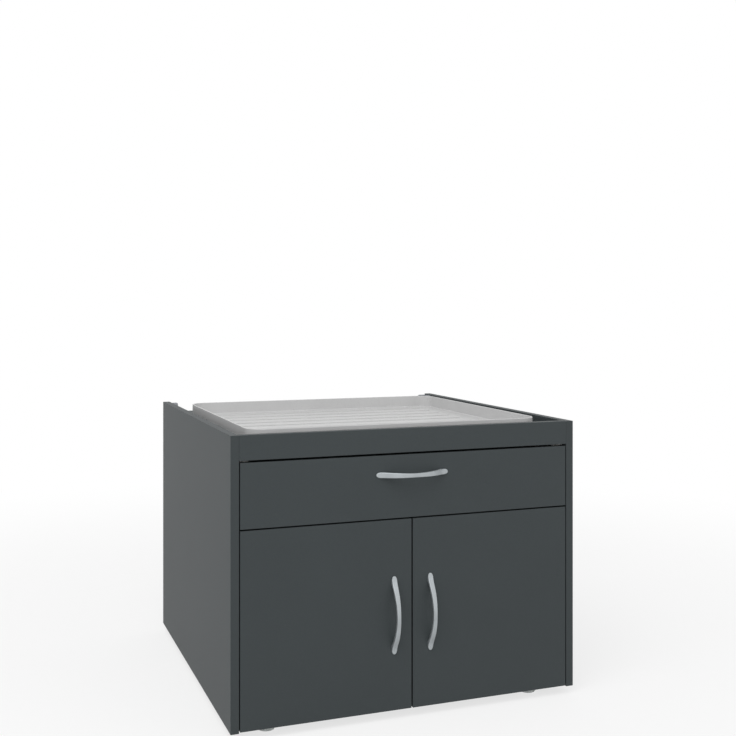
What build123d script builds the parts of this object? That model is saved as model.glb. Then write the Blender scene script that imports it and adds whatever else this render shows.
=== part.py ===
from build123d import *
import os

# Cabinet on four feet that carries a washing machine in a drip tray: one full-width drawer
# above two inset doors, all between two side panels. Millimetres, +Z up, front faces -Y.
# The origin is on the floor, in the middle of the space that the cabinet and its handles fill.

# Driving dimensions of the carcass
WIDTH = 720.0
DEPTH = 720.0
SIDE_HEIGHT = 546.0
FOOT_HEIGHT = 16.0
BOARD = 16.0
RAIL_HEIGHT = 47.0
PLATFORM_DROP = 24.0
FRONT_SETBACK = 2.0
REAR_RAIL_HEIGHT = 80.0
BATTEN_WIDTH = 22.0
BATTEN_HEIGHT = 30.0
BACK_THICKNESS = 3.0
BACK_INSET = 12.0
GROOVE_DEPTH = 8.0
GROOVE_PLAY = 0.1

# Fronts and the gaps round them
DOOR_BOTTOM = 18.0
DOOR_HEIGHT = 368.0
DRAWER_FRONT_HEIGHT = 122.0
FRONT_GAP = 3.0
SIDE_GAP = 2.0
CENTRE_GAP = 3.0

# Bow handles
HANDLE_LENGTH = 151.0
HANDLE_RISE = 28.0
HANDLE_THICKNESS = 6.6
HANDLE_FOOT = 18.0
HANDLE_BOW_RADIUS = 90.0
HANDLE_SLOPE = 32.0
HANDLE_SLOPE_LENGTH = 20.0
HANDLE_END_RISE = 2.4
HANDLE_TIP = 9.0
HANDLE_END_WIDTH = 10.8
HANDLE_MID_WIDTH = 7.8
HANDLE_HOLE_SPACING = 128.0
HANDLE_HOLE_DEPTH = 3.4
DOOR_HANDLE_FROM_EDGE = 38.0
DRAWER_HANDLE_FROM_TOP = 37.25

# Drawer box on roller runners
DRAWER_SIDE_HEIGHT = 86.0
DRAWER_LENGTH = 550.0
DRAWER_LIFT = 7.0
RUNNER_SPACE = 12.5
RUNNER_STEEL = 1.2
ROLLER_WIDTH = 7.6
FRONT_ROLLER_RADIUS = 13.0
REAR_ROLLER_RADIUS = 14.0
ROLLER_PIN_RADIUS = 3.0
RUNNING_PLAY = 0.05

# Drip tray
TRAY_WIDTH = 616.0
TRAY_DEPTH = 565.0
TRAY_HEIGHT = 30.0
TRAY_WALL = 3.0
TRAY_CORNER = 36.0
TRAY_EDGE = 5.0
TRAY_FROM_FRONT = 31.0
TRAY_OFFSET = -10.0
TRAY_RIB = (526.0, 12.0, 1.5)
TRAY_RIB_SPACING = 58.0

# Feet and wall brackets
FOOT_RADIUS = 16.5
FOOT_FROM_SIDE = 80.0
FOOT_FROM_FRONT = 48.0
BRACKET_HEIGHT = 20.0
BRACKET_DEPTH = 40.0
BRACKET_WIDTH = 20.5
BRACKET_STEEL = 2.0
BRACKET_LIFT = 1.0
BRACKET_HOLE_RADIUS = 2.75

# Places that follow from the sizes above
INNER = WIDTH / 2 - BOARD
FRONT = (HANDLE_RISE - DEPTH) / 2
BACK = FRONT + DEPTH
FRONTS_BACK = FRONT + BOARD
INSIDE_FRONT = FRONTS_BACK + FRONT_SETBACK
SIDE_TOP = FOOT_HEIGHT + SIDE_HEIGHT
RAIL_BOTTOM = SIDE_TOP - RAIL_HEIGHT
PLATFORM_TOP = SIDE_TOP - PLATFORM_DROP
PLATFORM_BOTTOM = PLATFORM_TOP - BOARD
DOOR_TOP = DOOR_BOTTOM + DOOR_HEIGHT
DRAWER_FRONT_BOTTOM = DOOR_TOP + FRONT_GAP
DRAWER_FRONT_TOP = DRAWER_FRONT_BOTTOM + DRAWER_FRONT_HEIGHT
SHELF_TOP = DRAWER_FRONT_BOTTOM
SHELF_BOTTOM = SHELF_TOP - BOARD
BOTTOM_TOP = FOOT_HEIGHT + BOARD
BACK_PANEL = (BACK - BACK_INSET - BACK_THICKNESS, BACK - BACK_INSET)
REAR_RAIL = (BACK_PANEL[0] - BOARD, BACK_PANEL[0])
DRAWER_BOTTOM = SHELF_TOP + DRAWER_LIFT
DRAWER_OUTER = INNER - RUNNER_SPACE
DRAWER_INNER = DRAWER_OUTER - BOARD
DRAWER_REAR = FRONTS_BACK + DRAWER_LENGTH
LOW = (Align.CENTER, Align.CENTER, Align.MIN)


def box(x, y, z):
    """A box between the low and high ends given along each axis."""
    sizes = [high - low for low, high in (x, y, z)]
    centre = [(low + high) / 2 for low, high in (x, y, z)]
    return Pos(*centre) * Box(*sizes)


def rod(start, direction, radius, length):
    """A round bar from a start point along a direction."""
    return Plane(origin=start, z_dir=direction) * Cylinder(radius, length, align=LOW)


def to_right(shape):
    """The right-hand twin of a left-hand piece."""
    return mirror(shape, about=Plane.YZ)


def both_sides(shapes):
    """Left-hand shapes with their right-hand twins."""
    return list(shapes) + [to_right(shape) for shape in shapes]


def cut(board, tools):
    """A board with holes in the shape of the tools."""
    for tool in tools:
        board -= tool
    return board


# Fasteners

CAM_RADIUS = 7.5
CAM_DEPTH = 12.5
CAM_BACKSET = 24.0
BOLT_CHANNEL_RADIUS = 4.0
DOWEL_RADIUS = 4.0
SCREW_HEAD_RADIUS = 3.4
SCREW_HEAD_HEIGHT = 1.8
SCREW_RADIUS = 1.75
SCREW_LENGTH = 13.0


def along_x(radius, start, end):
    """A round bar along X between two positions."""
    return Pos(start, 0, 0) * Rot(0, 90, 0) * Cylinder(radius, end - start, align=LOW)


def cam_joint(point, into, face):
    """A cam joint at the middle of a board's end: the bolt and cam, and the cuts they need.

    The bolt runs along `into` the board that is met, and the cam is let in from the side
    that `face` points to."""
    frame = Plane(origin=point, x_dir=into, z_dir=face)
    bolt = along_x(2.5, 0, 11) + along_x(3.0, 3.2 - CAM_BACKSET, 0)
    bolt += along_x(2.0, 0.4 - CAM_BACKSET, 3.2 - CAM_BACKSET)
    bolt += along_x(3.4, -2.2 - CAM_BACKSET, 0.8 - CAM_BACKSET)
    cam_bottom = BOARD / 2 - CAM_DEPTH
    hole = Pos(-CAM_BACKSET, 0, cam_bottom) * Cylinder(CAM_RADIUS, CAM_DEPTH, align=LOW)
    mouth = Pos(-CAM_BACKSET + 3, 0, 0) * Box(12, 7.6, 7.4)
    screwdriver_slot = Pos(-CAM_BACKSET, 0, BOARD / 2) * Box(9, 1.6, 2.4)
    cam = hole - mouth - screwdriver_slot
    channel = along_x(BOLT_CHANNEL_RADIUS, -CAM_BACKSET, 0)
    return {
        "pieces": [frame * bolt, frame * cam],
        "board_cuts": [frame * hole, frame * channel],
        "met_cuts": [frame * along_x(2.5, 0, 11)],
    }


def dowel(point, into):
    """A wooden dowel, 20 mm in the board's end and 10 mm in the board that it meets."""
    start = Vector(*point) - Vector(*into) * 20
    return rod(start, into, DOWEL_RADIUS, 30)


def panel_screw(point, out, length=SCREW_LENGTH):
    """A pan-head chipboard screw whose head bears at the point and faces `out`."""
    frame = Plane(origin=point, z_dir=out)
    head = Cylinder(SCREW_HEAD_RADIUS, SCREW_HEAD_HEIGHT / 2, align=LOW)
    head += Pos(0, 0, SCREW_HEAD_HEIGHT / 2) * Cone(SCREW_HEAD_RADIUS, 2.2, SCREW_HEAD_HEIGHT / 2, align=LOW)
    shank = Pos(0, 0, -length) * Cylinder(SCREW_RADIUS, length, align=LOW)
    return frame * (head + shank)


def countersunk_screw(point, out, length=SCREW_LENGTH):
    """A flat-head chipboard screw whose head is flush with the point and faces `out`."""
    frame = Plane(origin=point, z_dir=out)
    head = Pos(0, 0, -SCREW_HEAD_HEIGHT) * Cone(SCREW_RADIUS, SCREW_HEAD_RADIUS, SCREW_HEAD_HEIGHT, align=LOW)
    shank = Pos(0, 0, -length) * Cylinder(SCREW_RADIUS, length, align=LOW)
    return frame * (head + shank)


# Carcass boards, left ones at negative X

LEFT = (-1, 0, 0)
DOWN = (0, 0, -1)
UP = (0, 0, 1)
FORWARD = (0, -1, 0)
BACKWARD = (0, 1, 0)
RIGHT = (1, 0, 0)


def end_joints(points, face, dowel_offset):
    """Cam joints at the left ends of a board, each with a dowel set off beside it."""
    cams = [cam_joint(point, LEFT, face) for point in points]
    dowels = [dowel(Vector(*point) + Vector(*dowel_offset), LEFT) for point in points]
    return cams, dowels


def carcass():
    """The fixed boards with their cam joints, dowels and batten screws."""
    rail_y = FRONT + BOARD / 2
    rear_y = REAR_RAIL[0] + BOARD / 2
    bottom_z = FOOT_HEIGHT + BOARD / 2
    shelf_z = SHELF_TOP - BOARD / 2
    level_y = (INSIDE_FRONT + 60, BACK_PANEL[0] - 60)
    sets = {
        "bottom_panel": end_joints([(-INNER, y, bottom_z) for y in level_y], DOWN, (0, 32, 0)),
        "mid_shelf": end_joints([(-INNER, y, shelf_z) for y in level_y], DOWN, (0, 32, 0)),
        "front_rail": end_joints([(-INNER, rail_y, PLATFORM_BOTTOM + BOARD / 2)], BACKWARD, (0, 0, 20)),
        "rear_rail": end_joints([(-INNER, rear_y, PLATFORM_BOTTOM - 25)], FORWARD, (0, 0, -30)),
    }
    boards = {
        "bottom_panel": box((-INNER, INNER), (INSIDE_FRONT, BACK_PANEL[0]), (FOOT_HEIGHT, BOTTOM_TOP)),
        "mid_shelf": box((-INNER, INNER), (INSIDE_FRONT, BACK_PANEL[0]), (SHELF_BOTTOM, SHELF_TOP)),
        "front_rail": box((-INNER, INNER), (FRONT, FRONTS_BACK), (RAIL_BOTTOM, SIDE_TOP)),
        "rear_rail": box((-INNER, INNER), REAR_RAIL, (PLATFORM_BOTTOM - REAR_RAIL_HEIGHT, PLATFORM_BOTTOM)),
    }
    fittings, dowels, side_cuts = [], [], []
    for name, (cams, pins) in sets.items():
        for cam in cams:
            fittings += both_sides(cam["pieces"])
            side_cuts += cam["met_cuts"]
            boards[name] = cut(boards[name], both_sides(cam["board_cuts"]))
        boards[name] = cut(boards[name], both_sides(pins))
        dowels += both_sides(pins)
        side_cuts += pins

    divider = box((-BOARD / 2, BOARD / 2), (INSIDE_FRONT, BACK_PANEL[0]), (BOTTOM_TOP, SHELF_BOTTOM))
    for y in level_y:
        for z, into, other in ((BOTTOM_TOP, DOWN, "bottom_panel"), (SHELF_BOTTOM, UP, "mid_shelf")):
            joint = cam_joint((0, y, z), into, LEFT)
            pin = dowel((0, y + 32, z), into)
            divider = cut(divider, joint["board_cuts"] + [pin])
            boards[other] = cut(boards[other], joint["met_cuts"] + [pin])
            fittings += joint["pieces"]
            dowels.append(pin)
    boards["centre_divider"] = divider

    side = box((-WIDTH / 2, -INNER), (FRONT, BACK), (FOOT_HEIGHT, SIDE_TOP))
    groove_y = (BACK_PANEL[0] - GROOVE_PLAY, BACK_PANEL[1] + GROOVE_PLAY)
    side -= box((-INNER - GROOVE_DEPTH, -INNER), groove_y, (FOOT_HEIGHT, PLATFORM_BOTTOM))
    boards["side_panel_left"] = cut(side, side_cuts)

    panel_x = INNER + GROOVE_DEPTH - 0.5
    boards["back_panel"] = box((-panel_x, panel_x), BACK_PANEL, (FOOT_HEIGHT + 1, PLATFORM_BOTTOM))
    boards["platform_board"] = box((-INNER, INNER), (FRONTS_BACK, BACK), (PLATFORM_BOTTOM, PLATFORM_TOP))
    return boards, fittings, dowels


def platform_batten():
    """The strip along the left side panel that holds the platform up, and its screws."""
    x = (-INNER, -INNER + BATTEN_WIDTH)
    y = (INSIDE_FRONT, REAR_RAIL[0])
    batten = box(x, y, (PLATFORM_BOTTOM - BATTEN_HEIGHT, PLATFORM_BOTTOM))
    screws = []
    first, last = y[0] + 50, y[1] - 50
    for step in range(4):
        place = (x[1], first + (last - first) * step / 3, PLATFORM_BOTTOM - BATTEN_HEIGHT / 2)
        screws.append(panel_screw(place, RIGHT, BATTEN_WIDTH + 12))
    for step in range(3):
        place = (x[0] + BATTEN_WIDTH / 2, first + 90 + (last - first - 180) * step / 2)
        screws.append(panel_screw((*place, PLATFORM_BOTTOM - BATTEN_HEIGHT), DOWN, BATTEN_HEIGHT + 11))
    return batten, screws


def foot(x, y):
    """A round plastic glide, hollow from below, with its screw up into the bottom panel."""
    floor_radius = FOOT_RADIUS - 1.0
    with BuildPart() as built:
        with BuildSketch(Plane.XZ):
            with BuildLine():
                Polyline(
                    (2.0, FOOT_HEIGHT), (FOOT_RADIUS - 1.5, FOOT_HEIGHT), (FOOT_RADIUS - 1.5, FOOT_HEIGHT - 4.0),
                    (FOOT_RADIUS, FOOT_HEIGHT - 5.0), (FOOT_RADIUS, 1.4), (floor_radius, 0), (7.5, 0),
                    (6.0, FOOT_HEIGHT - 5.0), (2.0, FOOT_HEIGHT - 5.0), close=True,
                )
            make_face()
        revolve(axis=Axis.Z)
    screw = panel_screw((x, y, FOOT_HEIGHT - 5.0), DOWN, 18)
    return Pos(x, y, 0) * built.part, screw


def wall_bracket():
    """A steel angle at the left rear corner that ties the cabinet to the wall."""
    z = (PLATFORM_TOP + BRACKET_LIFT, PLATFORM_TOP + BRACKET_LIFT + BRACKET_HEIGHT)
    mid_z = (z[0] + z[1]) / 2
    side_leg = box((-INNER, -INNER + BRACKET_STEEL), (BACK - BRACKET_DEPTH, BACK), z)
    wall_leg = box((-INNER, -INNER + BRACKET_WIDTH), (BACK - BRACKET_STEEL, BACK), z)
    bracket = side_leg + wall_leg
    corners = [edge for edge in bracket.edges().filter_by(Axis.X) + bracket.edges().filter_by(Axis.Y)
               if edge.length < BRACKET_STEEL + 0.1
               and (edge.center().Y < BACK - 30 or edge.center().X > -INNER + BRACKET_WIDTH - 1)]
    bracket = fillet(corners, 5)
    bracket -= rod(bracket_hole(), FORWARD, BRACKET_HOLE_RADIUS, BRACKET_STEEL)
    screws = []
    for y in (BACK - BRACKET_DEPTH + 9, BACK - BRACKET_DEPTH + 25):
        bracket -= rod((-INNER, y, mid_z), RIGHT, SCREW_RADIUS + 0.25, BRACKET_STEEL)
        screws.append(panel_screw((-INNER + BRACKET_STEEL, y, mid_z), RIGHT))
    return bracket, screws


def bracket_hole():
    """Where the left bracket's wall screw goes through, on the back plane."""
    return (-INNER + 14, BACK, PLATFORM_TOP + BRACKET_LIFT + BRACKET_HEIGHT / 2)


# Bow handle

def bow_handle():
    """A bow along X on the plane Z = 0, rising towards +Z, with thin feet and a slim waist."""
    half, foot = HANDLE_LENGTH / 2, HANDLE_LENGTH / 2 - HANDLE_FOOT
    end, middle, shoulder = HANDLE_END_WIDTH / 2, HANDLE_MID_WIDTH / 2, half - HANDLE_TIP
    with BuildPart() as built:
        with BuildSketch(Plane.XZ) as side_view:
            with BuildLine():
                middle_of_arc = (0, HANDLE_RISE - HANDLE_BOW_RADIUS)
                bow = CenterArc(middle_of_arc, HANDLE_BOW_RADIUS, 90 - HANDLE_SLOPE, 2 * HANDLE_SLOPE)
                ankle = bow @ 0 - (bow % 0) * HANDLE_SLOPE_LENGTH
                Polyline(bow @ 0, ankle, (half, HANDLE_END_RISE), (half, 0), (foot, 0))
                ThreePointArc((foot, 0), (0, HANDLE_RISE - HANDLE_THICKNESS), (-foot, 0))
                Polyline((-foot, 0), (-half, 0), (-half, HANDLE_END_RISE), (-ankle.X, ankle.Y), bow @ 1)
            make_face()
            ankles = [corner for corner in side_view.vertices() if abs(corner.Y - ankle.Y) < 0.1]
            fillet(ankles, 30)
        extrude(amount=end + 1, both=True)
        with BuildSketch(Plane.XY):
            with BuildLine():
                Spline((-shoulder, end), (0, middle), (shoulder, end), tangents=[(1, 0), (1, 0)])
                EllipticalCenterArc((shoulder, 0), HANDLE_TIP, end, start_angle=-90, arc_size=180)
                Spline((shoulder, -end), (0, -middle), (-shoulder, -end), tangents=[(-1, 0), (-1, 0)])
                EllipticalCenterArc((-shoulder, 0), HANDLE_TIP, end, start_angle=90, arc_size=180)
            make_face()
        extrude(amount=HANDLE_RISE + 1, mode=Mode.INTERSECT)
        flat = built.faces().filter_by(Axis.Z).edges()
        upper = [edge for edge in built.edges() if edge not in flat and edge.bounding_box().size.X > 0.5]
        fillet(upper, 1.5)
        for side in (-1, 1):
            with Locations((side * HANDLE_HOLE_SPACING / 2, 0, 0)):
                Cylinder(2.0, HANDLE_HOLE_DEPTH, align=LOW, mode=Mode.SUBTRACT)
    return built.part


def handle_screw(board):
    """An M4 screw through a board of the given thickness, into a foot of the handle at +Z."""
    head = Pos(0, 0, -board - 2.2) * Cylinder(4.0, 2.2, align=LOW)
    shank = Pos(0, 0, -board) * Cylinder(2.0, board + HANDLE_HOLE_DEPTH - 0.2, align=LOW)
    return head + shank


def fit_handle(front, centre, upright):
    """A handle on the front plane at (x, z), its two screws, and the front drilled for them."""
    along = UP if upright else RIGHT
    frame = Plane(origin=(centre[0], FRONT, centre[1]), x_dir=along, z_dir=FORWARD)
    handle = frame * bow_handle()
    screws = []
    for side in (-1, 1):
        place = frame * Pos(side * HANDLE_HOLE_SPACING / 2, 0, 0)
        screws.append(place * handle_screw(BOARD))
        front -= place * (Pos(0, 0, -BOARD) * Cylinder(2.25, BOARD, align=LOW))
    return front, handle, screws


# Drawer runners, left side

TRACK_BOTTOM = SHELF_TOP + 10
TRACK_FLOOR = TRACK_BOTTOM + RUNNER_STEEL
TRACK_ROOF = TRACK_FLOOR + 2 * REAR_ROLLER_RADIUS + 0.4
TRACK_TOP = TRACK_ROOF + RUNNER_STEEL
RIDE_HEIGHT = TRACK_TOP + 0.8
TRACK_EDGE = INNER - 9.8
RUNNER_FRONT = INSIDE_FRONT
RUNNER_REAR = DRAWER_REAR
FRONT_ROLLER_Y = RUNNER_FRONT + 16
REAR_ROLLER_Y = RUNNER_REAR - 16
FRONT_ROLLER_Z = RIDE_HEIGHT - RUNNING_PLAY - FRONT_ROLLER_RADIUS
REAR_ROLLER_Z = TRACK_FLOOR + RUNNING_PLAY + REAR_ROLLER_RADIUS


def roller(x, y, z, radius):
    """A nylon roller across X with a crowned rim, a bore, and a groove in each face."""
    half = ROLLER_WIDTH / 2
    with BuildPart() as built:
        with BuildSketch(Plane.XZ):
            with BuildLine():
                Polyline(
                    (ROLLER_PIN_RADIUS + RUNNING_PLAY, -half), (5.0, -half), (5.0, 1.5 - half),
                    (radius - 3.0, 1.5 - half), (radius - 3.0, -half), (radius - 0.8, -half),
                    (radius, 0.8 - half), (radius, half - 0.8), (radius - 0.8, half),
                    (radius - 3.0, half), (radius - 3.0, half - 1.5), (5.0, half - 1.5),
                    (5.0, half), (ROLLER_PIN_RADIUS + RUNNING_PLAY, half), close=True,
                )
            make_face()
        revolve(axis=Axis.Z)
    return Plane(origin=(x, y, z), z_dir=RIGHT) * built.part


def cabinet_runner():
    """The C-shaped steel track on the side panel, with the front roller's pin, and its screws."""
    inside = -TRACK_EDGE
    y = (RUNNER_FRONT, RUNNER_REAR)
    track = box((-INNER, -INNER + RUNNER_STEEL), y, (TRACK_BOTTOM, TRACK_TOP))
    track += box((-INNER, inside), y, (TRACK_BOTTOM, TRACK_FLOOR))
    track += box((-INNER, inside), (RUNNER_FRONT + 34, RUNNER_REAR), (TRACK_ROOF, TRACK_TOP))
    track += box((-INNER, inside), (RUNNER_REAR - RUNNER_STEEL, RUNNER_REAR), (TRACK_BOTTOM, TRACK_TOP))
    pin_place = (-INNER, FRONT_ROLLER_Y, FRONT_ROLLER_Z)
    track += rod(pin_place, RIGHT, ROLLER_PIN_RADIUS, 10.4)
    track += rod((-INNER + 9.9, *pin_place[1:]), RIGHT, ROLLER_PIN_RADIUS + 1.5, 0.5)
    screws = []
    for y in (RUNNER_FRONT + 50, RUNNER_FRONT + 242, RUNNER_FRONT + 466):
        place = (-INNER + RUNNER_STEEL, y, (TRACK_BOTTOM + TRACK_TOP) / 2)
        screws.append(countersunk_screw(place, RIGHT))
        track -= screws[-1]
    wheel = roller(-INNER + 5.9, FRONT_ROLLER_Y, FRONT_ROLLER_Z, FRONT_ROLLER_RADIUS)
    return track, screws, wheel


def drawer_runner():
    """The Z-shaped steel rail under the drawer side, with the rear roller's pin, and its screws."""
    outer = -DRAWER_OUTER
    y = (FRONTS_BACK, DRAWER_REAR)
    rail = box((outer - RUNNER_STEEL, outer), y, (DRAWER_BOTTOM - RUNNER_STEEL, RIDE_HEIGHT + RUNNER_STEEL))
    rail += box((outer - RUNNER_STEEL, outer + 12), y, (DRAWER_BOTTOM - RUNNER_STEEL, DRAWER_BOTTOM))
    rail += box((outer - 9.5, outer), y, (RIDE_HEIGHT, RIDE_HEIGHT + RUNNER_STEEL))
    pin_place = (outer, REAR_ROLLER_Y, REAR_ROLLER_Z)
    rail += rod(pin_place, LEFT, ROLLER_PIN_RADIUS, 10.9)
    rail += rod((outer - 10.4, *pin_place[1:]), LEFT, ROLLER_PIN_RADIUS + 1.5, 0.5)
    screws = []
    for y in (FRONTS_BACK + 40, FRONTS_BACK + 260, DRAWER_REAR - 60):
        place = (outer + 6, y, DRAWER_BOTTOM - RUNNER_STEEL)
        rail -= rod(place, UP, SCREW_RADIUS + 0.25, RUNNER_STEEL)
        screws.append(panel_screw(place, DOWN))
    wheel = roller(outer - 6.2, REAR_ROLLER_Y, REAR_ROLLER_Z, REAR_ROLLER_RADIUS)
    return rail, screws, wheel


# Drawer

def drawer():
    """The drawer's boards, its cam joints and dowels, and its handle."""
    top = DRAWER_BOTTOM + DRAWER_SIDE_HEIGHT
    bottom_z = (DRAWER_BOTTOM + 8, DRAWER_BOTTOM + 8 + BACK_THICKNESS)
    groove_z = (bottom_z[0] - GROOVE_PLAY, bottom_z[1] + GROOVE_PLAY)
    groove_x = DRAWER_INNER + GROOVE_DEPTH
    front_x = INNER - SIDE_GAP
    front = box((-front_x, front_x), (FRONT, FRONTS_BACK), (DRAWER_FRONT_BOTTOM, DRAWER_FRONT_TOP))
    front -= box((-groove_x, groove_x), (FRONT + BOARD - GROOVE_DEPTH, FRONTS_BACK), groove_z)
    side = box((-DRAWER_OUTER, -DRAWER_INNER), (FRONTS_BACK, DRAWER_REAR), (DRAWER_BOTTOM, top))
    side -= box((-groove_x, -DRAWER_INNER), (FRONTS_BACK, DRAWER_REAR), groove_z)
    back = box((-DRAWER_INNER, DRAWER_INNER), (DRAWER_REAR - BOARD, DRAWER_REAR), (DRAWER_BOTTOM, top))
    back -= box((-DRAWER_INNER, DRAWER_INNER), (DRAWER_REAR - BOARD, DRAWER_REAR - GROOVE_DEPTH), groove_z)
    bottom_x = groove_x - 0.4
    bottom_y = (FRONTS_BACK - GROOVE_DEPTH + 0.4, DRAWER_REAR - GROOVE_DEPTH - 0.4)
    bottom = box((-bottom_x, bottom_x), bottom_y, bottom_z)

    side_x = -(DRAWER_OUTER + DRAWER_INNER) / 2
    fittings = []
    for z in (DRAWER_BOTTOM + 25, top - 16):
        joint = cam_joint((side_x, FRONTS_BACK, z), FORWARD, RIGHT)
        fittings += both_sides(joint["pieces"])
        side = cut(side, joint["board_cuts"])
        front = cut(front, both_sides(joint["met_cuts"]))
    for z in (DRAWER_BOTTOM + 25, top - 16):
        joint = cam_joint((-DRAWER_INNER, DRAWER_REAR - BOARD / 2, z), LEFT, FORWARD)
        fittings += both_sides(joint["pieces"])
        back = cut(back, both_sides(joint["board_cuts"]))
        side = cut(side, joint["met_cuts"])
    front, handle, screws = fit_handle(front, (0, DRAWER_FRONT_TOP - DRAWER_HANDLE_FROM_TOP), upright=False)
    return {"front": front, "side": side, "back": back, "bottom": bottom, "fittings": fittings,
            "handle": handle, "handle_screws": screws}


# Drip tray

def tray_block(inset):
    """The tray's outer form, or the hollow in it at a wall's thickness from the outside."""
    plan = RectangleRounded(TRAY_WIDTH - 2 * inset, TRAY_DEPTH - 2 * inset, TRAY_CORNER - inset)
    block = extrude(plan, TRAY_HEIGHT)
    lower_edges = block.faces().sort_by(Axis.Z)[0].edges()
    return Pos(0, 0, inset) * fillet(lower_edges, TRAY_EDGE - inset)


def drip_tray():
    """A moulded tray with upright walls, rounded edges, and raised ribs on its floor."""
    centre_y = FRONT + TRAY_FROM_FRONT + TRAY_DEPTH / 2
    tray = tray_block(0) - tray_block(TRAY_WALL)
    tray = fillet(tray.faces().sort_by(Axis.Z)[-1].edges(), 1.2)
    length, width, height = TRAY_RIB
    for step in range(-4, 5):
        tray += Pos(0, step * TRAY_RIB_SPACING, TRAY_WALL) * extrude(SlotOverall(length, width), height)
    return Pos(TRAY_OFFSET, centre_y, PLATFORM_TOP) * tray


# Concealed hinges of the inset doors, drawn in plan for the left door: X runs from the side
# panel's inner face into the cabinet, Y from the closed door's back face into the cabinet

HINGE_FROM_END = 90.0
CUP_RADIUS = 17.5
CUP_CENTRE = (23.5, 0.0)
CUP_DEPTH = 12.5
CUP_FLOOR = 0.6
POCKET = (8.7, 38.3)
POCKET_HALF = 6.0
FLANGE = 1.2
CUP_SCREW = (33.0, 24.0)
ARM_OUTER_PIN = (35.9, 9.0)
ARM_INNER_PIN = (35.6, -7.9)
CUP_OUTER_PIN = (13.6, -4.5)
CUP_INNER_PIN = (17.6, -7.9)
OUTER_KNEE = (32.5, -6.1)
INNER_KNEE = (22.7, -9.3)
LINK_WIDTH = 3.2
LINK_PIN = 1.25
OPEN_PIN = 1.0
OPEN_SLOT = (3.6, 5.2)
INNER_LINK_HALF = 2.4
NOSE = (2.8, 4.0)
OUTER_LINK = (4.3, 5.5)
ARM_HALF = 8.0
ARM_STEEL = 1.2
PLATE_Y = 37.0
PLATE_SCREW = 16.0
ARM_BACK = 15.0
ARM_INSIDE = ARM_BACK - ARM_STEEL


def hinge_heights():
    """The heights of a door's two hinges."""
    return DOOR_BOTTOM + HINGE_FROM_END, DOOR_TOP - HINGE_FROM_END


def stadium(start, end, width):
    """The plan of a bar with round ends about two points."""
    start, end = Vector(*start), Vector(*end)
    turn = Rot(0, 0, (end - start).get_angle(Vector(1, 0)) * (1 if end.Y >= start.Y else -1))
    return Pos((start + end) / 2) * turn * SlotCenterToCenter((end - start).length, width)


def slab(plan, low, high):
    """A plan made into a plate between two heights."""
    return Pos(0, 0, low) * extrude(plan, high - low)


def pin(centre, radius, half_length):
    """An upright pin about a point of the plan, as long above it as below."""
    return Pos(*centre) * Cylinder(radius, 2 * half_length)


def polygon_plan(*points):
    """The plan of a many-sided plate."""
    return make_face(Polyline(*points, close=True))


def hinge_cup():
    """The pressed cup with its pocket, screw wings, link pin hole and fixed inner pin."""
    cup = Pos(*CUP_CENTRE) * Rot(90, 0, 0) * Cylinder(CUP_RADIUS, CUP_DEPTH, align=LOW)
    wing = Pos(CUP_CENTRE[0] + 6, FLANGE / 2) * Rot(90, 0, 0) * Box(24, 60, FLANGE)
    rounded = wing.edges().filter_by(Axis.Y)
    cup += fillet(rounded, 7)
    cup -= box(POCKET, (CUP_FLOOR - CUP_DEPTH, FLANGE), (-POCKET_HALF, POCKET_HALF))
    cup -= box((0, 50), (0, FLANGE), (-POCKET_HALF, POCKET_HALF))
    cup -= pin(CUP_OUTER_PIN, LINK_PIN + RUNNING_PLAY, POCKET_HALF + 2.7)
    cup += pin(CUP_INNER_PIN, OPEN_PIN, POCKET_HALF)
    for z in (-CUP_SCREW[1], CUP_SCREW[1]):
        cup -= rod((CUP_SCREW[0], 0, z), BACKWARD, SCREW_RADIUS + 0.25, FLANGE)
    return cup


def hinge_outer_link():
    """Two hooked cheeks joined by the pin that turns in the arm, each with a stub in the cup."""
    plan = stadium(CUP_OUTER_PIN, OUTER_KNEE, LINK_WIDTH) + stadium(OUTER_KNEE, ARM_OUTER_PIN, LINK_WIDTH)
    plan += Pos(*CUP_OUTER_PIN) * Circle(2.1) + Pos(*ARM_OUTER_PIN) * Circle(2.4)
    link = slab(plan, *OUTER_LINK) + slab(plan, -OUTER_LINK[1], -OUTER_LINK[0])
    for low, high in ((OUTER_LINK[0], POCKET_HALF + 2.6), (-POCKET_HALF - 2.6, -OUTER_LINK[0])):
        link += slab(Pos(*CUP_OUTER_PIN) * Circle(LINK_PIN), low, high)
    link += pin(ARM_OUTER_PIN, LINK_PIN, OUTER_LINK[1] + 0.6)
    return link


def hinge_inner_link():
    """The narrow link between the cheeks, bored for the arm's pin and slotted for the cup's."""
    plan = stadium(CUP_INNER_PIN, INNER_KNEE, LINK_WIDTH) + stadium(INNER_KNEE, ARM_INNER_PIN, LINK_WIDTH)
    plan += Pos(*ARM_INNER_PIN) * Circle(2.2)
    wall = 1.5
    plan += Pos(*CUP_INNER_PIN) * Rot(0, 0, 90) * SlotOverall(OPEN_SLOT[1] + wall, OPEN_SLOT[0] + wall)
    plan -= Pos(*CUP_INNER_PIN) * Rot(0, 0, 90) * SlotOverall(OPEN_SLOT[1], OPEN_SLOT[0])
    plan -= Pos(*ARM_INNER_PIN) * Circle(LINK_PIN + RUNNING_PLAY)
    return slab(plan, -INNER_LINK_HALF, INNER_LINK_HALF)


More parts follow.
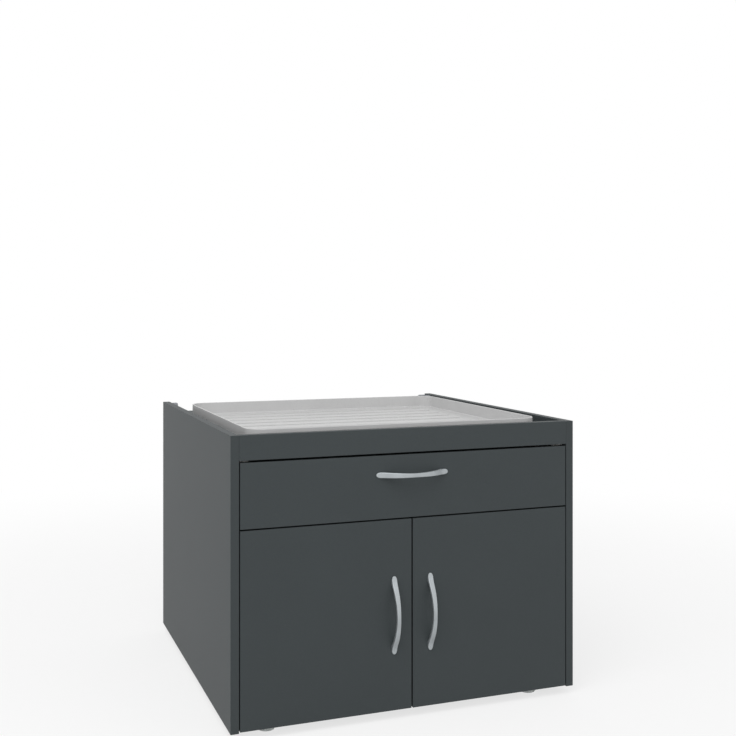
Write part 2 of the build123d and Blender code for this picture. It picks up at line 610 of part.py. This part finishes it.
def hinge_arm():
    """The cranked channel from the mounting plate to the forked nose that holds both links."""
    nose = stadium(ARM_INNER_PIN, (35.9, 6.0), 4.4) + Pos(*ARM_OUTER_PIN) * Circle(2.4)
    nose += polygon_plan((33.7, 4.0), (38.1, 4.0), (38.1, 17.0), (29.0, 19.0), (33.5, 12.0))
    arm = slab(nose, -NOSE[1], NOSE[1])
    arm -= box((30, 40), (-12, -3), (-NOSE[0], NOSE[0]))
    arm += pin(ARM_INNER_PIN, LINK_PIN, NOSE[1])
    arm -= pin(ARM_OUTER_PIN, LINK_PIN + RUNNING_PLAY, NOSE[1])
    body = polygon_plan(
        (38.1, 13.0), (38.1, 17.0), (18.0, 26.5), (ARM_BACK, 31.0), (ARM_BACK, 62.0),
        (7.6, 62.0), (7.6, 29.0), (12.0, 22.0), (31.0, 13.0),
    )
    channel = Pos(-ARM_STEEL, -1.0) * body
    body = slab(body, -ARM_HALF, ARM_HALF)
    body -= slab(channel, ARM_STEEL - ARM_HALF, ARM_HALF - ARM_STEEL)
    return arm + body


def hinge_plate():
    """The mounting plate on the side panel: two screw wings and the rib that the arm sits over."""
    wings = Pos(1.0, PLATE_Y) * Rot(0, 90, 0) * Box(46, 16, 2.0)
    wings = fillet(wings.edges().filter_by(Axis.X), 6)
    rib = box((0, ARM_INSIDE), (PLATE_Y - 6, PLATE_Y + 21), (-6.6, 6.6))
    plate = wings + box((0, 2.0), (PLATE_Y - 8, PLATE_Y + 24), (-9, 9)) + rib
    for z in (-PLATE_SCREW, PLATE_SCREW):
        plate -= rod((0, PLATE_Y, z), RIGHT, SCREW_RADIUS + 0.25, 2.0)
    return plate


def hinges():
    """The pieces of the left door's two hinges, in place, and their screws."""
    sets = {"cups": [], "outer_links": [], "inner_links": [], "arms": [], "plates": []}
    cup_screws, plate_screws, bores = [], [], []
    for height in hinge_heights():
        place = Pos(-INNER, FRONTS_BACK, height)
        sets["cups"].append(place * hinge_cup())
        sets["outer_links"].append(place * hinge_outer_link())
        sets["inner_links"].append(place * hinge_inner_link())
        sets["arms"].append(place * hinge_arm())
        sets["plates"].append(place * hinge_plate())
        bores.append(place * Pos(*CUP_CENTRE) * Rot(90, 0, 0) * Cylinder(CUP_RADIUS, CUP_DEPTH, align=LOW))
        for side in (-1, 1):
            cup_place = (CUP_SCREW[0] - INNER, FRONTS_BACK + FLANGE, height + side * CUP_SCREW[1])
            plate_place = (2.0 - INNER, FRONTS_BACK + PLATE_Y, height + side * PLATE_SCREW)
            cup_screws.append(panel_screw(cup_place, BACKWARD))
            plate_screws.append(panel_screw(plate_place, RIGHT))
    return sets, cup_screws, plate_screws, bores


# Doors

def door(bores, cup_screws):
    """The left door, bored for its hinge cups and handle, with its handle, screws and bumpers."""
    x = (SIDE_GAP - INNER, -CENTRE_GAP / 2)
    panel = box(x, (FRONT, FRONTS_BACK), (DOOR_BOTTOM, DOOR_TOP))
    panel = cut(panel, bores + cup_screws)
    centre = (-DOOR_HANDLE_FROM_EDGE, (DOOR_BOTTOM + DOOR_TOP) / 2)
    panel, handle, screws = fit_handle(panel, centre, upright=True)
    bumpers = [rod((x[1] - 4, FRONTS_BACK, z), BACKWARD, 3.0, FRONT_SETBACK - 0.3)
               for z in (DOOR_BOTTOM + 25, DOOR_TOP - 25)]
    return panel, handle, screws, bumpers


# The whole cabinet, one node for each piece or group of alike pieces

def group(shapes):
    """Separate solids kept together as one node."""
    return Compound(children=[solid for shape in shapes for solid in shape.solids()])


def add_pair(nodes, name, shape):
    """A left-hand piece and its right-hand twin."""
    nodes[name + "_left"] = shape
    nodes[name + "_right"] = to_right(shape)


def build():
    """Every node of the cabinet by name."""
    boards, carcass_fittings, dowels = carcass()
    batten, batten_screws = platform_batten()
    bracket, bracket_screws = wall_bracket()
    track, track_screws, front_roller = cabinet_runner()
    rail, rail_screws, rear_roller = drawer_runner()
    hinge_sets, cup_screws, plate_screws, bores = hinges()
    door_panel, door_handle, door_screws, bumpers = door(bores, cup_screws)
    box_parts = drawer()

    nodes = {}
    foot_x = FOOT_FROM_SIDE - WIDTH / 2
    foot_screws = []
    for name, y in (("front", FRONT + FOOT_FROM_FRONT), ("rear", BACK - FOOT_FROM_FRONT)):
        solid, screw = foot(foot_x, y)
        add_pair(nodes, "foot_" + name, solid)
        foot_screws.append(screw)
    left_screws = bracket_screws + track_screws + plate_screws
    side = cut(boards.pop("side_panel_left"), left_screws + batten_screws[:4])
    add_pair(nodes, "side_panel", side)
    boards["bottom_panel"] = cut(boards["bottom_panel"], both_sides(foot_screws))
    boards["platform_board"] = cut(boards["platform_board"], both_sides(batten_screws[4:]))
    nodes.update(boards)
    add_pair(nodes, "platform_batten", cut(batten, batten_screws))
    nodes["batten_screws"] = group(both_sides(batten_screws))
    nodes["cam_fittings_cabinet"] = group(carcass_fittings)
    nodes["wooden_dowels"] = group(dowels)
    nodes["panel_screws_cabinet"] = group(both_sides(left_screws + foot_screws))
    add_pair(nodes, "wall_bracket", bracket)
    add_pair(nodes, "runner_cabinet", track)
    add_pair(nodes, "roller_front", front_roller)
    add_pair(nodes, "hinge_plates", group(hinge_sets["plates"]))
    add_pair(nodes, "hinge_arms", group(hinge_sets["arms"]))

    nodes["drawer_front"] = box_parts["front"]
    add_pair(nodes, "drawer_side", cut(box_parts["side"], rail_screws))
    nodes["drawer_back"] = box_parts["back"]
    nodes["drawer_bottom"] = box_parts["bottom"]
    nodes["cam_fittings_drawer"] = group(box_parts["fittings"])
    nodes["handle_drawer"] = box_parts["handle"]
    nodes["handle_screws_drawer"] = group(box_parts["handle_screws"])
    nodes["panel_screws_drawer"] = group(both_sides(rail_screws))
    add_pair(nodes, "runner_drawer", rail)
    add_pair(nodes, "roller_rear", rear_roller)

    add_pair(nodes, "door", door_panel)
    add_pair(nodes, "handle_door", door_handle)
    add_pair(nodes, "handle_screws_door", group(door_screws))
    add_pair(nodes, "panel_screws_door", group(cup_screws))
    add_pair(nodes, "bumpers_door", group(bumpers))
    add_pair(nodes, "hinge_cups", group(hinge_sets["cups"]))
    add_pair(nodes, "hinge_outer_links", group(hinge_sets["outer_links"]))
    add_pair(nodes, "hinge_inner_links", group(hinge_sets["inner_links"]))
    nodes["drip_tray"] = drip_tray()
    return nodes


os.makedirs("parts", exist_ok=True)
for node_name, shape in build().items():
    export_step(shape, "parts/" + node_name + ".step")
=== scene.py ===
"""Looks for the washing machine base cabinet: finishes, rounded edges, screw heads, floor, light, camera."""

import math

import bmesh
import bpy
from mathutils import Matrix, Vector


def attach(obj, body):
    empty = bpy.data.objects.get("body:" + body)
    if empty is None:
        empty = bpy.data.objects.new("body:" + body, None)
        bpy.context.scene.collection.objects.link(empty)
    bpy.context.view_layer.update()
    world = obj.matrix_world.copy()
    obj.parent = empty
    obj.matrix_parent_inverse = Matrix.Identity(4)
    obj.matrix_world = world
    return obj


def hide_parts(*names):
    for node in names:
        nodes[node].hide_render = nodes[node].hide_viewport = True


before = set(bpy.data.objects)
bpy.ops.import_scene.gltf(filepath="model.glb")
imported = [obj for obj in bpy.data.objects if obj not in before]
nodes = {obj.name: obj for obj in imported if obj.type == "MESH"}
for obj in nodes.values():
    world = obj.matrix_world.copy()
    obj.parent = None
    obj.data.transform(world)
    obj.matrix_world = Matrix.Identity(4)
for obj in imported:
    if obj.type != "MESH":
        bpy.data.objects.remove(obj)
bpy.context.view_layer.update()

SIDES = ("left", "right")

# Camera: where the photographer stood, which way the lens pointed, and the crop of the picture
CAMERA_PLACE = (-0.8006, -2.2169, 0.8001)
CAMERA_HEADING = math.radians(20.372)
LENS_MM = 51.17
SENSOR_MM = 36.0
SHIFT_X = 0.00925
SHIFT_Y = -0.0852

# Colours as they look in plain light, as sRGB fractions
ANTHRACITE = (0.232, 0.252, 0.258)
ANTHRACITE_EDGE = (0.238, 0.258, 0.264)
MELAMINE_WHITE = (0.93, 0.93, 0.92)
HARDBOARD = (0.30, 0.31, 0.315)
SATIN_NICKEL = (0.685, 0.705, 0.715)
ZINC = (0.70, 0.71, 0.73)
DIE_CAST = (0.60, 0.61, 0.62)
BEECH = (0.80, 0.68, 0.50)
FOOT_WHITE = (0.93, 0.95, 0.94)
RUNNER_WHITE = (0.86, 0.86, 0.84)
NYLON = (0.88, 0.88, 0.85)
NICKEL = (0.76, 0.755, 0.74)
BUMPER_CLEAR = (0.84, 0.84, 0.81)
TRAY_GREY = (0.76, 0.76, 0.76)
FLOOR = (0.93, 0.93, 0.93)

# Light: what the world gives, and the two lamps, in metres and watts. The floor glows in part up to GLOW_NEAR
# metres from the middle, and wholly from GLOW_FAR on.
WORLD_LIGHT = 0.68
LAMP_TARGET = (0.0, 0.0, 0.3)
KEY_PLACE = (-1.4, -1.75, 3.0)
KEY_SIZE = (2.4, 2.4)
KEY_WATTS = 56.0
FILL_PLACE = (2.2, -3.2, 1.6)
FILL_SIZE = (2.0, 2.0)
FILL_WATTS = 9.0
FLOOR_GLOW = 0.72
GLOW_NEAR = 0.7
GLOW_FAR = 2.6

# How far edges are rounded, in metres
RAIL_EDGE = 0.0009
BOARD_EDGE = 0.0006
STEEL_EDGE = 0.00025

# Points closer than this, in metres, are one point, and faces closer than this in angle are one flat face
SAME_POINT = 0.00001
SAME_FACE = math.radians(0.5)


def linear(colour):
    """An sRGB colour as the linear RGBA that shader sockets take."""
    channels = [c / 12.92 if c <= 0.04045 else ((c + 0.055) / 1.055) ** 2.4 for c in colour]
    return (*channels, 1.0)


def scaled(colour, factor):
    """A colour made lighter or darker."""
    return tuple(min(1.0, c * factor) for c in colour)


# Materials

class Finish:
    """A material being put together: its node tree, its shader, and coordinates in metres."""

    def __init__(self, name, roughness, metallic=0.0):
        self.material = bpy.data.materials.new(name)
        self.material.use_nodes = True
        self.tree = self.material.node_tree
        self.shader = self.tree.nodes["Principled BSDF"]
        self.shader.inputs["Roughness"].default_value = roughness
        self.shader.inputs["Metallic"].default_value = metallic
        self.place = self.tree.nodes.new("ShaderNodeTexCoord")

    def node(self, kind, **settings):
        made = self.tree.nodes.new(kind)
        for key, value in settings.items():
            setattr(made, key, value)
        return made

    def link(self, source, target):
        self.tree.links.new(source, target)

    def stretched(self, scale):
        """Object coordinates in metres, multiplied along each axis."""
        mapping = self.node("ShaderNodeMapping")
        mapping.inputs["Scale"].default_value = scale
        self.link(self.place.outputs["Object"], mapping.inputs["Vector"])
        return mapping.outputs["Vector"]

    def noise(self, scale, detail=2.0, roughness=0.5):
        """Noise between 0 and 1 with `scale` features in a metre, along each axis."""
        texture = self.node("ShaderNodeTexNoise")
        texture.inputs["Scale"].default_value = 1.0
        texture.inputs["Detail"].default_value = detail
        texture.inputs["Roughness"].default_value = roughness
        self.link(self.stretched(scale), texture.inputs["Vector"])
        return texture.outputs["Fac"]

    def ramp(self, factor, start, end, low, high, **settings):
        """A value that runs from low to high as the factor goes from start to end."""
        made = self.node("ShaderNodeMapRange", **settings)
        for socket, value in zip(made.inputs[1:5], (start, end, low, high)):
            socket.default_value = value
        self.link(factor, made.inputs[0])
        return made.outputs[0]

    def between(self, factor, low, high):
        """A value that follows a noise from low to high, over the middle of the noise's range."""
        return self.ramp(factor, 0.3, 0.7, low, high)

    def mixed(self, factor, first, second):
        """A colour between two colours, each a tuple or a socket."""
        # For colours this node takes the pair at inputs 6 and 7, and gives the mix at output 2
        mix = self.node("ShaderNodeMix", data_type="RGBA")
        for socket, colour in ((mix.inputs[6], first), (mix.inputs[7], second)):
            if isinstance(colour, tuple):
                socket.default_value = linear(colour)
            else:
                self.link(colour, socket)
        self.link(factor, mix.inputs[0])
        return mix.outputs[2]

    def colour(self, socket):
        self.link(socket, self.shader.inputs["Base Color"])

    def roughness(self, factor, low, high):
        self.link(self.between(factor, low, high), self.shader.inputs["Roughness"])

    def bump(self, height, depth, strength=1.0):
        """Relief of that depth in metres on top of any relief there already."""
        made = self.node("ShaderNodeBump")
        made.inputs["Strength"].default_value = strength
        made.inputs["Distance"].default_value = depth
        self.link(height, made.inputs["Height"])
        if self.shader.inputs["Normal"].is_linked:
            self.link(self.shader.inputs["Normal"].links[0].from_socket, made.inputs["Normal"])
        self.link(made.outputs["Normal"], self.shader.inputs["Normal"])


def even(scale):
    """The same scale along all three axes."""
    return (scale, scale, scale)


def laminate(name, axis, colour, edge_colour):
    """Matt melamine on a board that is thin along the axis, with a plainer edge band."""
    finish = Finish(name, 0.5)
    finish.shader.inputs["Specular IOR Level"].default_value = 0.16
    cloudy = finish.noise(even(7.0), 3.0)
    pearl = finish.noise(even(900.0), 3.0, 0.65)
    face = finish.mixed(cloudy, scaled(colour, 0.97), scaled(colour, 1.03))
    speckled = finish.mixed(finish.between(pearl, 0.0, 0.22), face, scaled(colour, 1.3))
    split = finish.node("ShaderNodeSeparateXYZ")
    finish.link(finish.place.outputs["Normal"], split.inputs[0])
    size = finish.node("ShaderNodeMath", operation="ABSOLUTE")
    finish.link(split.outputs[axis], size.inputs[0])
    on_edge = finish.ramp(size.outputs[0], 0.4, 0.6, 1.0, 0.0)
    finish.colour(finish.mixed(on_edge, speckled, edge_colour))
    finish.roughness(pearl, 0.44, 0.56)
    finish.bump(pearl, 0.00003, 0.5)
    finish.bump(finish.noise(even(90.0), 2.0), 0.00004, 0.15)
    return finish.material


def hardboard():
    """Thin lacquered hardboard with a faint relief of fibres."""
    finish = Finish("hardboard", 0.6)
    fibres = finish.noise(even(260.0), 4.0, 0.7)
    finish.colour(finish.mixed(fibres, scaled(HARDBOARD, 0.92), scaled(HARDBOARD, 1.08)))
    finish.roughness(fibres, 0.5, 0.66)
    finish.bump(fibres, 0.00006, 0.5)
    return finish.material


def brushed(name, colour, roughness, grain):
    """Metal with fine brushing: `grain` gives the brush marks in a metre along each axis."""
    finish = Finish(name, roughness, 1.0)
    marks = finish.noise(grain, 3.0, 0.6)
    haze = finish.noise(even(45.0), 2.0)
    finish.colour(finish.mixed(haze, scaled(colour, 0.95), scaled(colour, 1.04)))
    finish.roughness(marks, roughness - 0.06, roughness + 0.07)
    finish.bump(marks, 0.00002, 0.35)
    return finish.material


def plated(name, colour, roughness, metallic):
    """Plating with a soft haze, bright or dulled by a passive layer."""
    finish = Finish(name, roughness, metallic)
    haze = finish.noise(even(60.0), 3.0)
    finish.colour(finish.mixed(haze, scaled(colour, 0.95), scaled(colour, 1.04)))
    finish.roughness(finish.noise(even(220.0), 3.0), roughness - 0.04, roughness + 0.05)
    finish.bump(finish.noise(even(900.0), 2.0), 0.000004, 0.15)
    return finish.material


def plastic(name, colour, roughness, grain=1600.0, depth=0.00003):
    """Moulded plastic with a fine spark-eroded grain."""
    finish = Finish(name, roughness)
    fine = finish.noise(even(grain), 2.0, 0.6)
    flow = finish.noise(even(11.0), 2.0)
    finish.colour(finish.mixed(flow, scaled(colour, 0.97), scaled(colour, 1.03)))
    finish.roughness(fine, roughness - 0.06, roughness + 0.08)
    finish.bump(fine, depth, 0.4)
    return finish.material


def milky(name, colour, roughness):
    """Unpigmented plastic that light soaks into."""
    finish = Finish(name, roughness)
    fine = finish.noise(even(1400.0), 2.0)
    finish.colour(finish.mixed(finish.noise(even(60.0)), scaled(colour, 0.97), scaled(colour, 1.03)))
    finish.shader.inputs["Subsurface Weight"].default_value = 0.6
    finish.shader.inputs["Subsurface Radius"].default_value = (1.0, 1.0, 1.0)
    finish.shader.inputs["Subsurface Scale"].default_value = 0.006
    finish.roughness(fine, roughness - 0.05, roughness + 0.08)
    finish.bump(fine, 0.00002, 0.4)
    return finish.material


def powder_coat(name, colour):
    """Powder-coated steel with a soft orange-peel surface."""
    finish = Finish(name, 0.4)
    peel = finish.noise(even(520.0), 2.0)
    finish.colour(finish.mixed(finish.noise(even(30.0)), scaled(colour, 0.98), scaled(colour, 1.02)))
    finish.roughness(peel, 0.34, 0.46)
    finish.bump(peel, 0.00004, 0.4)
    return finish.material


def beech():
    """Plain beech with fine pores along the dowels."""
    finish = Finish("beech", 0.65)
    grain = finish.noise((120.0, 900.0, 900.0), 3.0)
    finish.colour(finish.mixed(grain, scaled(BEECH, 0.82), scaled(BEECH, 1.06)))
    finish.roughness(grain, 0.55, 0.75)
    finish.bump(grain, 0.00005, 0.4)
    return finish.material


def pair(*names):
    """Each name once for the left and once for the right."""
    return [name + "_" + side for name in names for side in SIDES]


# The boards by the axis that they are thin along, and the steel whose edges are rounded
THIN_ALONG_X = [*pair("side_panel"), "centre_divider", *pair("drawer_side")]
THIN_ALONG_Y = ["front_rail", "rear_rail", "drawer_front", "drawer_back", *pair("door")]
THIN_ALONG_Z = ["bottom_panel", "mid_shelf", "platform_board"]
ROUNDED_STEEL = pair(
    "runner_cabinet", "runner_drawer", "wall_bracket", "hinge_plates", "hinge_arms", "hinge_cups")

# Brush marks in a metre along each axis
BRUSHED_ALONG_X = (90.0, 2600.0, 2600.0)
BRUSHED_ALONG_Z = (2600.0, 2600.0, 90.0)


def finishes():
    """Each material with the CAD nodes that wear it."""
    return [
        (laminate("laminate_x", 0, ANTHRACITE, ANTHRACITE_EDGE), THIN_ALONG_X),
        (laminate("laminate_y", 1, ANTHRACITE, ANTHRACITE_EDGE), THIN_ALONG_Y),
        (laminate("laminate_z", 2, ANTHRACITE, ANTHRACITE_EDGE), THIN_ALONG_Z),
        (laminate("white_laminate", 0, MELAMINE_WHITE, MELAMINE_WHITE), pair("platform_batten")),
        (hardboard(), ["back_panel", "drawer_bottom"]),
        (brushed("satin_nickel_x", SATIN_NICKEL, 0.6, BRUSHED_ALONG_X), ["handle_drawer"]),
        (brushed("satin_nickel_z", SATIN_NICKEL, 0.6, BRUSHED_ALONG_Z), pair("handle_door")),
        (plated("dull_zinc", ZINC, 0.55, 0.45), pair("wall_bracket")),
        (plated("die_cast_zinc", DIE_CAST, 0.5, 0.7), ["cam_fittings_cabinet", "cam_fittings_drawer"]),
        (beech(), ["wooden_dowels"]),
        (milky("foot_plastic", FOOT_WHITE, 0.4), pair("foot_front", "foot_rear")),
        (powder_coat("runner_coat", RUNNER_WHITE), pair("runner_cabinet", "runner_drawer")),
        (plastic("nylon", NYLON, 0.4, 900.0), pair("roller_front", "roller_rear")),
        (plated("nickel_plate", NICKEL, 0.36, 0.7),
         pair("hinge_plates", "hinge_arms", "hinge_cups", "hinge_outer_links", "hinge_inner_links")),
        (plastic("bumper_pad", BUMPER_CLEAR, 0.3), pair("bumpers_door")),
        (plastic("tray_plastic", TRAY_GREY, 0.42, 1300.0, 0.00005), ["drip_tray"]),
    ]


def dress(node, material):
    """Puts a material on every slot of a CAD node."""
    slots = nodes[node].material_slots
    if not slots:
        nodes[node].data.materials.append(material)
    for slot in slots:
        slot.material = material


def round_edges(node, radius):
    """Rounds the sharp edges of a CAD node, and keeps its faces flat to the eye."""
    weld = nodes[node].modifiers.new("weld", "WELD")
    weld.merge_threshold = SAME_POINT
    merge = nodes[node].modifiers.new("merge_flat", "DECIMATE")
    merge.decimate_type = "DISSOLVE"
    merge.angle_limit = SAME_FACE
    bevel = nodes[node].modifiers.new("rounding", "BEVEL")
    bevel.width = radius
    bevel.segments = 2
    bevel.limit_method = "ANGLE"
    bevel.angle_limit = math.radians(40.0)
    bevel.use_clamp_overlap = False
    flatten = nodes[node].modifiers.new("flatten", "WEIGHTED_NORMAL")
    flatten.weight = 100
    flatten.keep_sharp = True


# Screws: each CAD screw again, with a cross recess in its head. Sizes are in metres.

SCREW_NODES = {
    "cabinet": ["batten_screws", "panel_screws_cabinet"],
    "drawer": ["panel_screws_drawer", "handle_screws_drawer"],
    "door_left": ["panel_screws_door_left", "handle_screws_door_left"],
    "door_right": ["panel_screws_door_right", "handle_screws_door_right"],
}
HEAD_DEPTH = 0.001  # the head is the end that is wider within this depth
SCREW_CORE = 0.0005  # points nearer to the axis belong to flat faces
SCREW_STEP = 0.0003  # a larger change of radius at one depth is a shoulder
ROUND_STEPS = 32
RECESS_REACH = 0.0019  # from the axis to the end of an arm
RECESS_WIDTH = 0.0011
RECESS_DEPTH = 0.0012
RECESS_TAPER = 0.55  # the cross at its floor, as a share of the cross at its mouth


def islands(mesh):
    """The points of each separate body in a mesh."""
    joined = bmesh.new()
    joined.from_mesh(mesh)
    bmesh.ops.remove_doubles(joined, verts=joined.verts, dist=SAME_POINT)
    seen = set()
    found = []
    for start in joined.verts:
        if start in seen:
            continue
        seen.add(start)
        waiting, points = [start], []
        while waiting:
            vert = waiting.pop()
            points.append(vert.co.copy())
            for edge in vert.link_edges:
                other = edge.other_vert(vert)
                if other not in seen:
                    seen.add(other)
                    waiting.append(other)
        found.append(points)
    joined.free()
    return found


def screw_frame(points):
    """The middle of a screw's head, the way it faces, and its outline as (depth, radius) pairs."""
    low = Vector([min(point[k] for point in points) for k in range(3)])
    high = Vector([max(point[k] for point in points) for k in range(3)])
    along = max(range(3), key=lambda k: high[k] - low[k])
    centre = (low + high) / 2

    def radius(point):
        return Vector([0.0 if k == along else point[k] - centre[k] for k in range(3)]).length

    def widest(end):
        return max(radius(point) for point in points if abs(point[along] - end[along]) < HEAD_DEPTH)

    facing, tip = (1.0, high) if widest(high) > widest(low) else (-1.0, low)
    head = centre.copy()
    head[along] = tip[along]
    rims = {}
    for point in points:
        if radius(point) > SCREW_CORE:
            rims.setdefault(round(abs(point[along] - head[along]), 5), []).append(radius(point))
    outline = []
    for depth, radii in sorted(rims.items()):
        outline.append((depth, max(radii)))
        if depth > 0 and max(radii) - min(radii) > SCREW_STEP:
            outline.append((depth, min(radii)))
    return head, Vector([facing if k == along else 0.0 for k in range(3)]), outline


def add_screw(made, head, out, outline):
    """A turned screw with a tapered cross recess, added to a mesh in the making."""
    turn = out.to_track_quat("Z", "Y").to_matrix()

    def put(x, y, depth):
        return made.verts.new(head + turn @ Vector((x, y, -depth)))

    def bridge(upper, lower):
        for step in range(len(upper)):
            after = (step + 1) % len(upper)
            made.faces.new((upper[step], lower[step], lower[after], upper[after]))

    angles = [2 * math.pi * step / ROUND_STEPS for step in range(ROUND_STEPS)]
    rings = []
    for depth, radius in outline:
        rings.append([put(radius * math.cos(a), radius * math.sin(a), depth) for a in angles])
    for upper, lower in zip(rings, rings[1:]):
        bridge(upper, lower)
    made.faces.new(rings[-1][::-1])

    reach, half = RECESS_REACH, RECESS_WIDTH / 2
    corner = ((half, reach), (half, half), (reach, half))
    cross = []
    for cos, sin in ((1, 0), (0, -1), (-1, 0), (0, 1)):
        cross += [(x * cos - y * sin, x * sin + y * cos) for x, y in corner]
    mouth = [put(x, y, 0.0) for x, y in cross]
    floor = [put(x * RECESS_TAPER, y * RECESS_TAPER, RECESS_DEPTH) for x, y in cross]
    bridge(mouth, floor)
    made.faces.new(floor)

    rims = []
    for loop in (rings[0], mouth):
        rims += [made.edges.get((loop[step - 1], loop[step])) for step in range(len(loop))]
    bmesh.ops.triangle_fill(made, use_beauty=True, edges=rims)


def piece_from(made, name, material):
    """An object from a finished mesh, smooth except at its sharp edges."""
    mesh = bpy.data.meshes.new(name)
    made.to_mesh(mesh)
    made.free()
    mesh.materials.append(material)
    mesh.shade_smooth()
    mesh.set_sharp_from_angle(angle=math.radians(35))
    piece = bpy.data.objects.new(name, mesh)
    bpy.context.scene.collection.objects.link(piece)
    return piece


def recessed_screws(material):
    """Stands a detailed copy in for every screw node."""
    for body, names in SCREW_NODES.items():
        for name in names:
            made = bmesh.new()
            for points in islands(nodes[name].data):
                add_screw(made, *screw_frame(points))
            bmesh.ops.recalc_face_normals(made, faces=made.faces)
            piece = piece_from(made, name + "_detailed", material)
            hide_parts(name)
            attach(piece, body)


# Stage

def stage():
    """A pale floor that curves up into a pale wall far behind, all one sheet."""
    half_width, front, bend_at, bend, height = 9.0, -6.0, 3.2, 1.8, 6.0
    profile = [(front, 0.0), (bend_at, 0.0)]
    steps = 24
    for step in range(1, steps + 1):
        angle = math.pi / 2 * step / steps
        profile.append((bend_at + bend * math.sin(angle), bend * (1 - math.cos(angle))))
    profile.append((bend_at + bend, height))
    mesh = bpy.data.meshes.new("backdrop")
    made = bmesh.new()
    rows = [[made.verts.new((side * half_width, y, z)) for side in (-1, 1)] for y, z in profile]
    for low, high in zip(rows, rows[1:]):
        made.faces.new((low[0], low[1], high[1], high[0]))
    made.to_mesh(mesh)
    made.free()
    mesh.shade_smooth()
    sheet = bpy.data.objects.new("backdrop", mesh)
    bpy.context.scene.collection.objects.link(sheet)
    finish = Finish("backdrop_paper", 0.9)
    paper = finish.noise(even(40.0), 2.0)
    finish.colour(finish.mixed(paper, scaled(FLOOR, 0.995), scaled(FLOOR, 1.005)))
    whiten(finish)
    mesh.materials.append(finish.material)


def seen_rays(tree):
    """A socket that is 1 for what the camera, a reflection or a clear material looks at."""
    path = tree.nodes.new("ShaderNodeLightPath")
    seen = path.outputs["Is Camera Ray"]
    for ray in ("Is Glossy Ray", "Is Transmission Ray"):
        either = tree.nodes.new("ShaderNodeMath")
        either.operation = "MAXIMUM"
        tree.links.new(seen, either.inputs[0])
        tree.links.new(path.outputs[ray], either.inputs[1])
        seen = either.outputs[0]
    return seen


def whiten(finish):
    """Makes a surface partly glow white to the eye near the object, and wholly far from it."""
    distance = finish.node("ShaderNodeVectorMath", operation="LENGTH")
    finish.link(finish.place.outputs["Object"], distance.inputs[0])
    share = finish.ramp(
        distance.outputs["Value"], GLOW_NEAR, GLOW_FAR, FLOOR_GLOW, 1.0, interpolation_type="SMOOTHSTEP")
    part = finish.node("ShaderNodeMath", operation="MULTIPLY")
    finish.link(seen_rays(finish.tree), part.inputs[0])
    finish.link(share, part.inputs[1])
    white = finish.node("ShaderNodeEmission")
    white.inputs["Strength"].default_value = 1.0
    blend = finish.node("ShaderNodeMixShader")
    finish.link(part.outputs[0], blend.inputs[0])
    finish.link(finish.shader.outputs[0], blend.inputs[1])
    finish.link(white.outputs[0], blend.inputs[2])
    finish.link(blend.outputs[0], finish.tree.nodes["Material Output"].inputs["Surface"])


def area_light(name, place, target, size, power):
    """A soft rectangular lamp that faces its target."""
    lamp = bpy.data.lights.new(name, "AREA")
    lamp.shape = "RECTANGLE"
    lamp.size, lamp.size_y = size
    lamp.energy = power
    holder = bpy.data.objects.new(name, lamp)
    holder.location = place
    holder.rotation_euler = (Vector(target) - Vector(place)).to_track_quat("-Z", "Y").to_euler()
    bpy.context.scene.collection.objects.link(holder)


def light():
    """A white world, a soft lamp high at the front left, and a weaker one at the front right."""
    world = bpy.data.worlds.new("studio")
    world.use_nodes = True
    bpy.context.scene.world = world
    tree = world.node_tree
    background = tree.nodes["Background"]
    background.inputs["Color"].default_value = (1.0, 1.0, 1.0, 1.0)
    strength = tree.nodes.new("ShaderNodeMapRange")
    for socket, value in zip(strength.inputs[1:5], (0.0, 1.0, WORLD_LIGHT, 1.0)):
        socket.default_value = value
    tree.links.new(seen_rays(tree), strength.inputs[0])
    tree.links.new(strength.outputs[0], background.inputs["Strength"])
    area_light("key", KEY_PLACE, LAMP_TARGET, KEY_SIZE, KEY_WATTS)
    area_light("fill", FILL_PLACE, LAMP_TARGET, FILL_SIZE, FILL_WATTS)


def camera():
    """The camera at the photograph's place, level, with the frame shifted down."""
    data = bpy.data.cameras.new("camera")
    data.lens = LENS_MM
    data.sensor_fit = "HORIZONTAL"
    data.sensor_width = SENSOR_MM
    data.shift_x = SHIFT_X
    data.shift_y = SHIFT_Y
    data.clip_end = 50.0
    holder = bpy.data.objects.new("camera", data)
    holder.location = CAMERA_PLACE
    holder.rotation_euler = (math.pi / 2, 0.0, -CAMERA_HEADING)
    bpy.context.scene.collection.objects.link(holder)
    bpy.context.scene.camera = holder


for material, wearers in finishes():
    for wearer in wearers:
        dress(wearer, material)
for board in THIN_ALONG_X + THIN_ALONG_Y + THIN_ALONG_Z:
    round_edges(board, RAIL_EDGE if board == "front_rail" else BOARD_EDGE)
for steel in ROUNDED_STEEL:
    round_edges(steel, STEEL_EDGE)
recessed_screws(plated("zinc_plate", ZINC, 0.4, 0.75))
stage()
light()
camera()
bpy.context.scene.view_settings.view_transform = "Standard"
